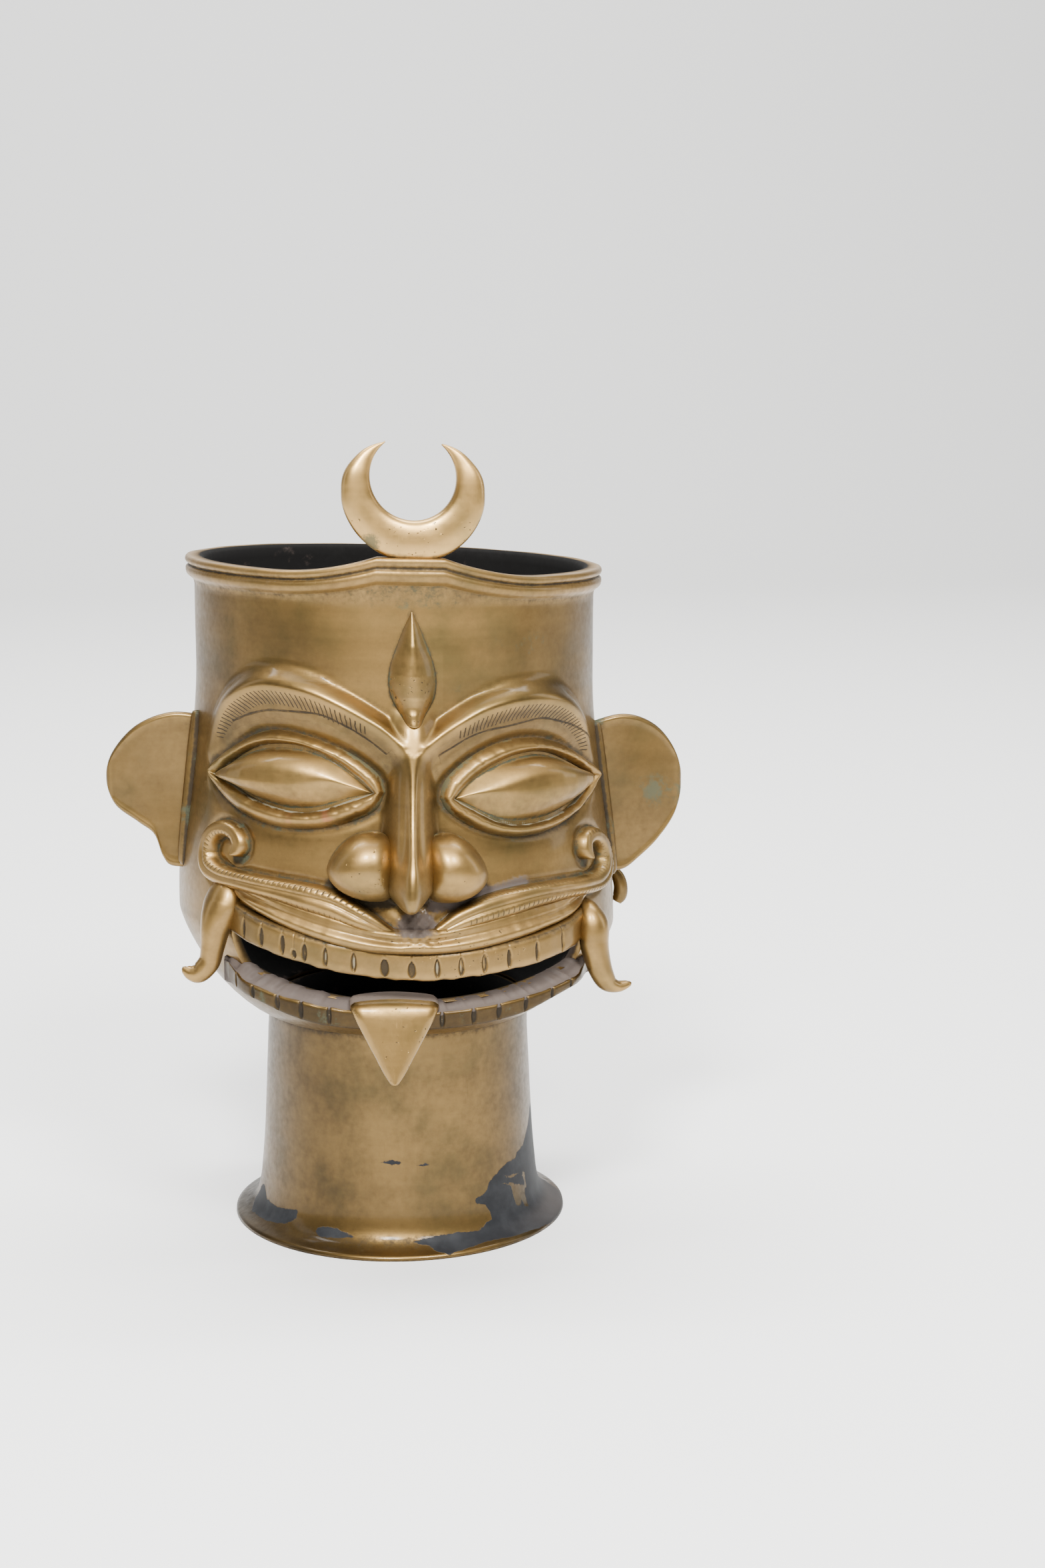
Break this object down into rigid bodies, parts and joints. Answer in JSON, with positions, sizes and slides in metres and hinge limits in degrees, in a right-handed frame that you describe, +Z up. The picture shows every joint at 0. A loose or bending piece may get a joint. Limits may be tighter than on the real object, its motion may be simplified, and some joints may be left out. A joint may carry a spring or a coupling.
{
  "type": "mukhalinga mask",
  "caption": "Hollow cast brass face mask with open top, crescent moon, third eye, curled moustache, tusks, tongue and leaf ears, on a flanged neck.",
  "frame": {"origin": "on the ground below the middle of the mask's bounding box; the neck's axis stands 12.4 mm behind it, at +Y", "axes": "+Z up along the neck, the face looks along -Y, +X to the viewer's right as one looks at the face"},
  "size_m": [0.2036, 0.1648, 0.2802],
  "materials": {
    "brass": "worn cast brass, golden-brown patina with verdigris in the recesses"
  },
  "bodies": {
    "root": {"mask": "brass"}
  },
  "joints": []
}
